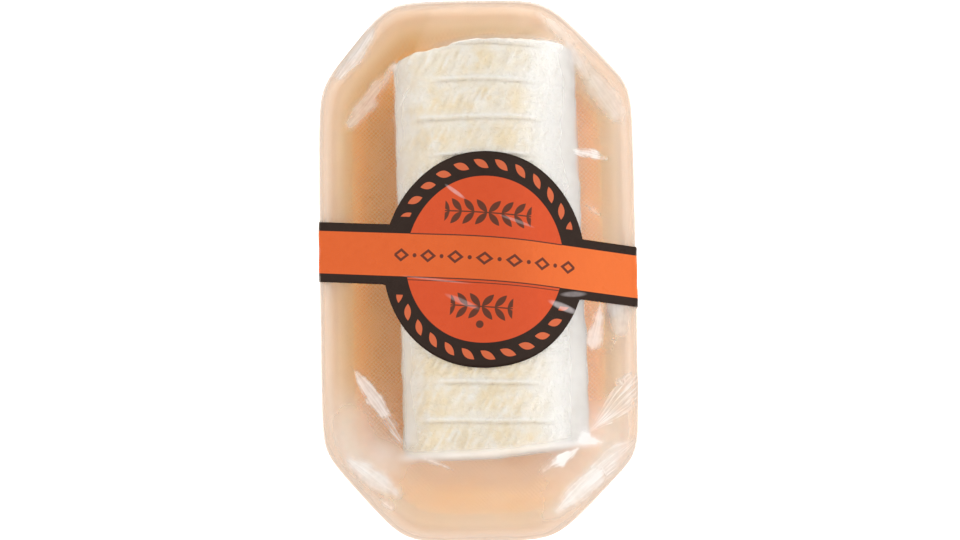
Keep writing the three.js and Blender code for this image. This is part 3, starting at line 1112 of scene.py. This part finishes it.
def pleats(turns, count, level, layer, seed):
    """Noise round the pack with count cells to a radian, at a level along the film."""
    places = joined(turns * count, np.full_like(turns, level), np.full_like(turns, layer))
    return value_noise(places, seed)


def film_over(membrane, turns, weight):
    """(points, veil, rim share) of each ring of the film from the middle of the pack out to the rim; the
    veil is mostly painted reflection and painted light, and along the rim a painted reflection.
    """
    rim_x, rim_y = outline(turns, -FILM_OFF, 0)
    for share in np.linspace(0.05, 1.0, OVER_RINGS) ** 0.85:
        x, y = rim_x * share, rim_y * share
        fade = smoothstep(1.0, 0.96, share)
        gather = weight * smoothstep(0.86, 0.98, share)
        pleat = pleats(turns, 34, share * 2, 0, 71)
        slack = 0.10 * fractal(flat_points(x, y, 6.0), 61, 2)
        z = membrane(x, y) + slack * fade + 0.12 * gather * fade * pleat
        rim = smoothstep(0.965, 1.0, share)
        haze = film_layers_and_painted_light(x, y) * smoothstep(1.0, 0.93, share)
        # Along the rim: painted reflection.
        veil = 0.5 * rim + 0.08 * gather * (0.7 + 0.3 * pleat) + haze
        yield joined(x, y, z), veil, np.full_like(x, rim)


def film_down(turns, weight):
    """The same for each ring from the rim down the wall and round its foot."""
    for share in np.linspace(0.03, 1.0, DOWN_RINGS):
        z = (RIM + FILM_OFF) * (1 - share) + FILM_FOOT
        up = np.clip((z - TRAY_BASE) / TRAY_HEIGHT, 0, 1)
        below = max(0.0, 1 - (z - TRAY_BASE) / FILLET)
        inset = FILLET * (1 - math.sqrt(max(0.0, 1 - below ** 2)))
        x, y = outline(turns, -FILM_OFF + inset, 1 - up)
        pleat = pleats(turns, 40, share * 1.2, 3, 81)
        push = 1 + 0.006 * weight * pleat * smoothstep(0, 0.15, share)
        bend = smoothstep(0.12, 0.03, share)
        # Where the film bends over the rim: painted reflection.
        veil = 0.03 + 0.06 * weight * (0.6 + 0.4 * pleat) + 0.5 * bend
        yield joined(x * push, y * push, np.full_like(x, z)), veil, np.full_like(x, bend)


def film_under(turns, foot):
    """The same for each ring from the wall's foot in under the base."""
    inner_x, inner_y = outline(turns, LIP_OVERHANG + TUCK, 1)
    for share in np.linspace(0.08, 1.0, UNDER_RINGS):
        x = foot[:, 0] + (inner_x - foot[:, 0]) * share
        y = foot[:, 1] + (inner_y - foot[:, 1]) * share
        pleat = pleats(turns, 30, share, 5, 91)
        ragged = 1 + 0.02 * share * pleat
        z = FILM_FOOT + 0.12 * np.abs(pleat)
        veil = 0.10 + 0.10 * np.abs(pleat)
        yield joined(x * ragged, y * ragged, z), veil, np.zeros_like(x)


def make_film(membrane):
    turns = crowded_turns(FILM_COLUMNS, 0.45)
    weight = corner_weight(*outline(turns, -FILM_OFF, 0))
    rings = [*film_over(membrane, turns, weight), *film_down(turns, weight)]
    foot = rings[-1][0]
    rings.extend(film_under(turns, foot))
    points, veils, rims = (np.array(column) for column in zip(*rings))
    values = mark_values(points[..., 0], points[..., 1])
    over = points[..., 2] > RIM - 0.5
    values["edge"] = np.where(over, values["edge"], OUTSIDE)
    values["veil"] = veils
    values["rim"] = rims
    faces = grid_faces(len(points), FILM_COLUMNS, True)[:, ::-1]
    middle = [list(range(FILM_COLUMNS))]
    add_piece("film_wrap", points, faces, film_material(), "film", values, middle)


# Label

OVER_STEPS = 240
WALL_STEPS = 40
BAND_COLUMNS = 70
DISC_COLUMNS = 180
LABEL_ROWS = 61


def film_section(membrane, y):
    """X and Z of places across the pack over the film at one Y, from the left foot to the right."""
    edge = HALF_WIDTH + FILM_OFF
    x = np.linspace(-edge, edge, OVER_STEPS)
    z = membrane(x, np.full_like(x, y))
    down = np.linspace(RIM, BAND_FOOT, WALL_STEPS)
    wall_x = edge - SIDE_DRAFT * (RIM - down) / TRAY_HEIGHT
    all_x = np.concatenate([-wall_x[::-1], x[1:-1], wall_x])
    all_z = np.concatenate([down[::-1], z[1:-1], down])
    return all_x, all_z


def wrap_label(membrane, u, v, lift):
    """Points where flat label places u, v come to lie, lift above the film."""
    turned_u, turned_v = turned_plan(u, v, BAND_TURN)
    run = turned_u + BAND_CENTRE[0]
    place_y = turned_v + BAND_CENTRE[1]
    end_clear = 0.3
    stride = 0.6
    points = np.zeros((len(u), 3))
    for i in range(len(u)):
        x, z = film_section(membrane, place_y[i])
        length = np.concatenate([[0], np.cumsum(np.hypot(np.diff(x), np.diff(z)))])
        middle = np.interp(0, x, length)
        way = np.clip(middle + run[i], end_clear, length[-1] - end_clear)
        before_x, point_x, after_x = np.interp([way - stride, way, way + stride], length, x)
        before_z, point_z, after_z = np.interp([way - stride, way, way + stride], length, z)
        along = np.array([after_x - before_x, after_z - before_z])
        along /= np.hypot(*along)
        points[i] = (point_x - along[1] * lift, place_y[i], point_z + along[0] * lift)
    return points


def make_label(membrane):
    """A grid over the label's flat shape, wrapped over the film, with a back face."""
    rows = LABEL_ROWS
    edge = math.sqrt(DISC_RADIUS ** 2 - (BAND_WIDTH / 2) ** 2)
    left = np.linspace(-BAND_REACH, DISC_PLACE[0] - edge, BAND_COLUMNS)
    turns = np.linspace(-1, 1, DISC_COLUMNS) * math.asin(edge / DISC_RADIUS)
    disc = DISC_PLACE[0] + DISC_RADIUS * np.sin(turns)
    right = np.linspace(DISC_PLACE[0] + edge, BAND_REACH, BAND_COLUMNS)
    columns = np.concatenate([left[:-1], disc, right[1:]])
    arc = np.sqrt(np.clip(DISC_RADIUS ** 2 - (columns - DISC_PLACE[0]) ** 2, 0, None))
    high = np.maximum(BAND_WIDTH / 2, DISC_PLACE[1] + arc)
    low = np.minimum(-BAND_WIDTH / 2, DISC_PLACE[1] - arc)
    share = np.linspace(0, 1, rows)
    u = np.repeat(columns[:, None], rows, axis=1)
    v = low[:, None] + (high - low)[:, None] * share
    flat = u.ravel(), v.ravel()
    top = wrap_label(membrane, *flat, PAPER_TOP)
    back = wrap_label(membrane, *flat, PAPER_BACK)
    count = len(columns)
    front = grid_faces(count, rows, False)
    behind = front[:, ::-1] + len(top)
    rim = np.concatenate([
        np.arange(count) * rows,
        (count - 1) * rows + np.arange(1, rows),
        np.arange(count - 2, -1, -1) * rows + rows - 1,
        np.arange(rows - 2, 0, -1),
    ])
    after = np.roll(rim, -1)
    walls = joined(rim, rim + len(top), after + len(top), after)
    faces = np.concatenate([front, behind, walls])
    points = np.concatenate([top, back])
    values = {"flat_u": np.tile(flat[0], 2), "flat_v": np.tile(flat[1], 2)}
    add_piece("label_band", points, faces, label_material(), "label", values)


# Stage, lights and camera

def add_floor():
    mesh = bpy.data.meshes.new("floor")
    half = 3.0
    corners = [(-half, -half, 0), (half, -half, 0), (half, half, 0), (-half, half, 0)]
    mesh.from_pydata(corners, [], [(0, 1, 2, 3)])
    mesh.materials.append(floor_material())
    floor = bpy.data.objects.new("floor", mesh)
    bpy.context.scene.collection.objects.link(floor)


# Brightness of the sky, and each brighter place: its turn and rise in degrees, sharpness and brightness
SKY = 0.42
SKY_LOBES = [
    (0, 48, 4.5, 1.15),
    (180, 46, 4.0, 0.82),
    (-90, 40, 4.0, 0.48),
]


def sky_lobe(tree, direction, turn, rise, sharpness, brightness):
    """Brightness round one place of the sky, fading smoothly away from it."""
    turn, rise = math.radians(turn), math.radians(rise)
    level = math.cos(rise)
    node = tree.nodes.new("ShaderNodeVectorMath")
    node.operation = "DOT_PRODUCT"
    tree.links.new(direction, node.inputs[0])
    node.inputs[1].default_value = (level * math.cos(turn), level * math.sin(turn), math.sin(rise))
    away = minus(tree, node.outputs["Value"], 1.0)
    faded = calc(tree, "EXPONENT", times(tree, away, sharpness))
    return times(tree, faded, brightness)


def add_sky():
    """Plain soft light from all round, brighter from some places."""
    world = bpy.data.worlds.new("world")
    world.use_nodes = True
    tree = world.node_tree
    direction = tree.nodes.new("ShaderNodeTexCoord").outputs["Generated"]
    total = SKY
    for lobe in SKY_LOBES:
        total = plus(tree, sky_lobe(tree, direction, *lobe), total)
    background = tree.nodes["Background"]
    background.inputs["Color"].default_value = (1, 1, 1, 1)
    feed(tree, background.inputs["Strength"], total)
    bpy.context.scene.world = world


# The photograph's frame
FRAME_WIDTH = 960
MM_PER_PIXEL = 0.24
ELEVATION = math.radians(84)
DISTANCE = 700.0
ROLL = math.radians(-0.87)
TARGET_X = 0.45
TARGET_Y = -0.3
SENSOR = 36.0


def add_camera():
    """A long lens almost straight above the pack, turned a little as the photograph is."""
    data = bpy.data.cameras.new("camera")
    data.sensor_width = SENSOR
    data.lens = SENSOR * DISTANCE / (FRAME_WIDTH * MM_PER_PIXEL)
    data.clip_start = 0.01
    camera = bpy.data.objects.new("camera", data)
    target = Vector((TARGET_X * MM, TARGET_Y * MM, RIM * MM))
    away = Vector((0, -math.cos(ELEVATION), math.sin(ELEVATION)))
    look = (-away).to_track_quat("-Z", "Y").to_matrix()
    turned_look = (look @ Matrix.Rotation(ROLL, 3, "Z")).to_4x4()
    camera.matrix_world = Matrix.Translation(target + away * DISTANCE * MM) @ turned_look
    bpy.context.scene.collection.objects.link(camera)
    bpy.context.scene.camera = camera


def main():
    bpy.context.scene.view_settings.view_transform = "Standard"
    membrane = Membrane()
    make_tray()
    make_log()
    make_film(membrane)
    make_label(membrane)
    add_floor()
    add_sky()
    add_camera()


main()
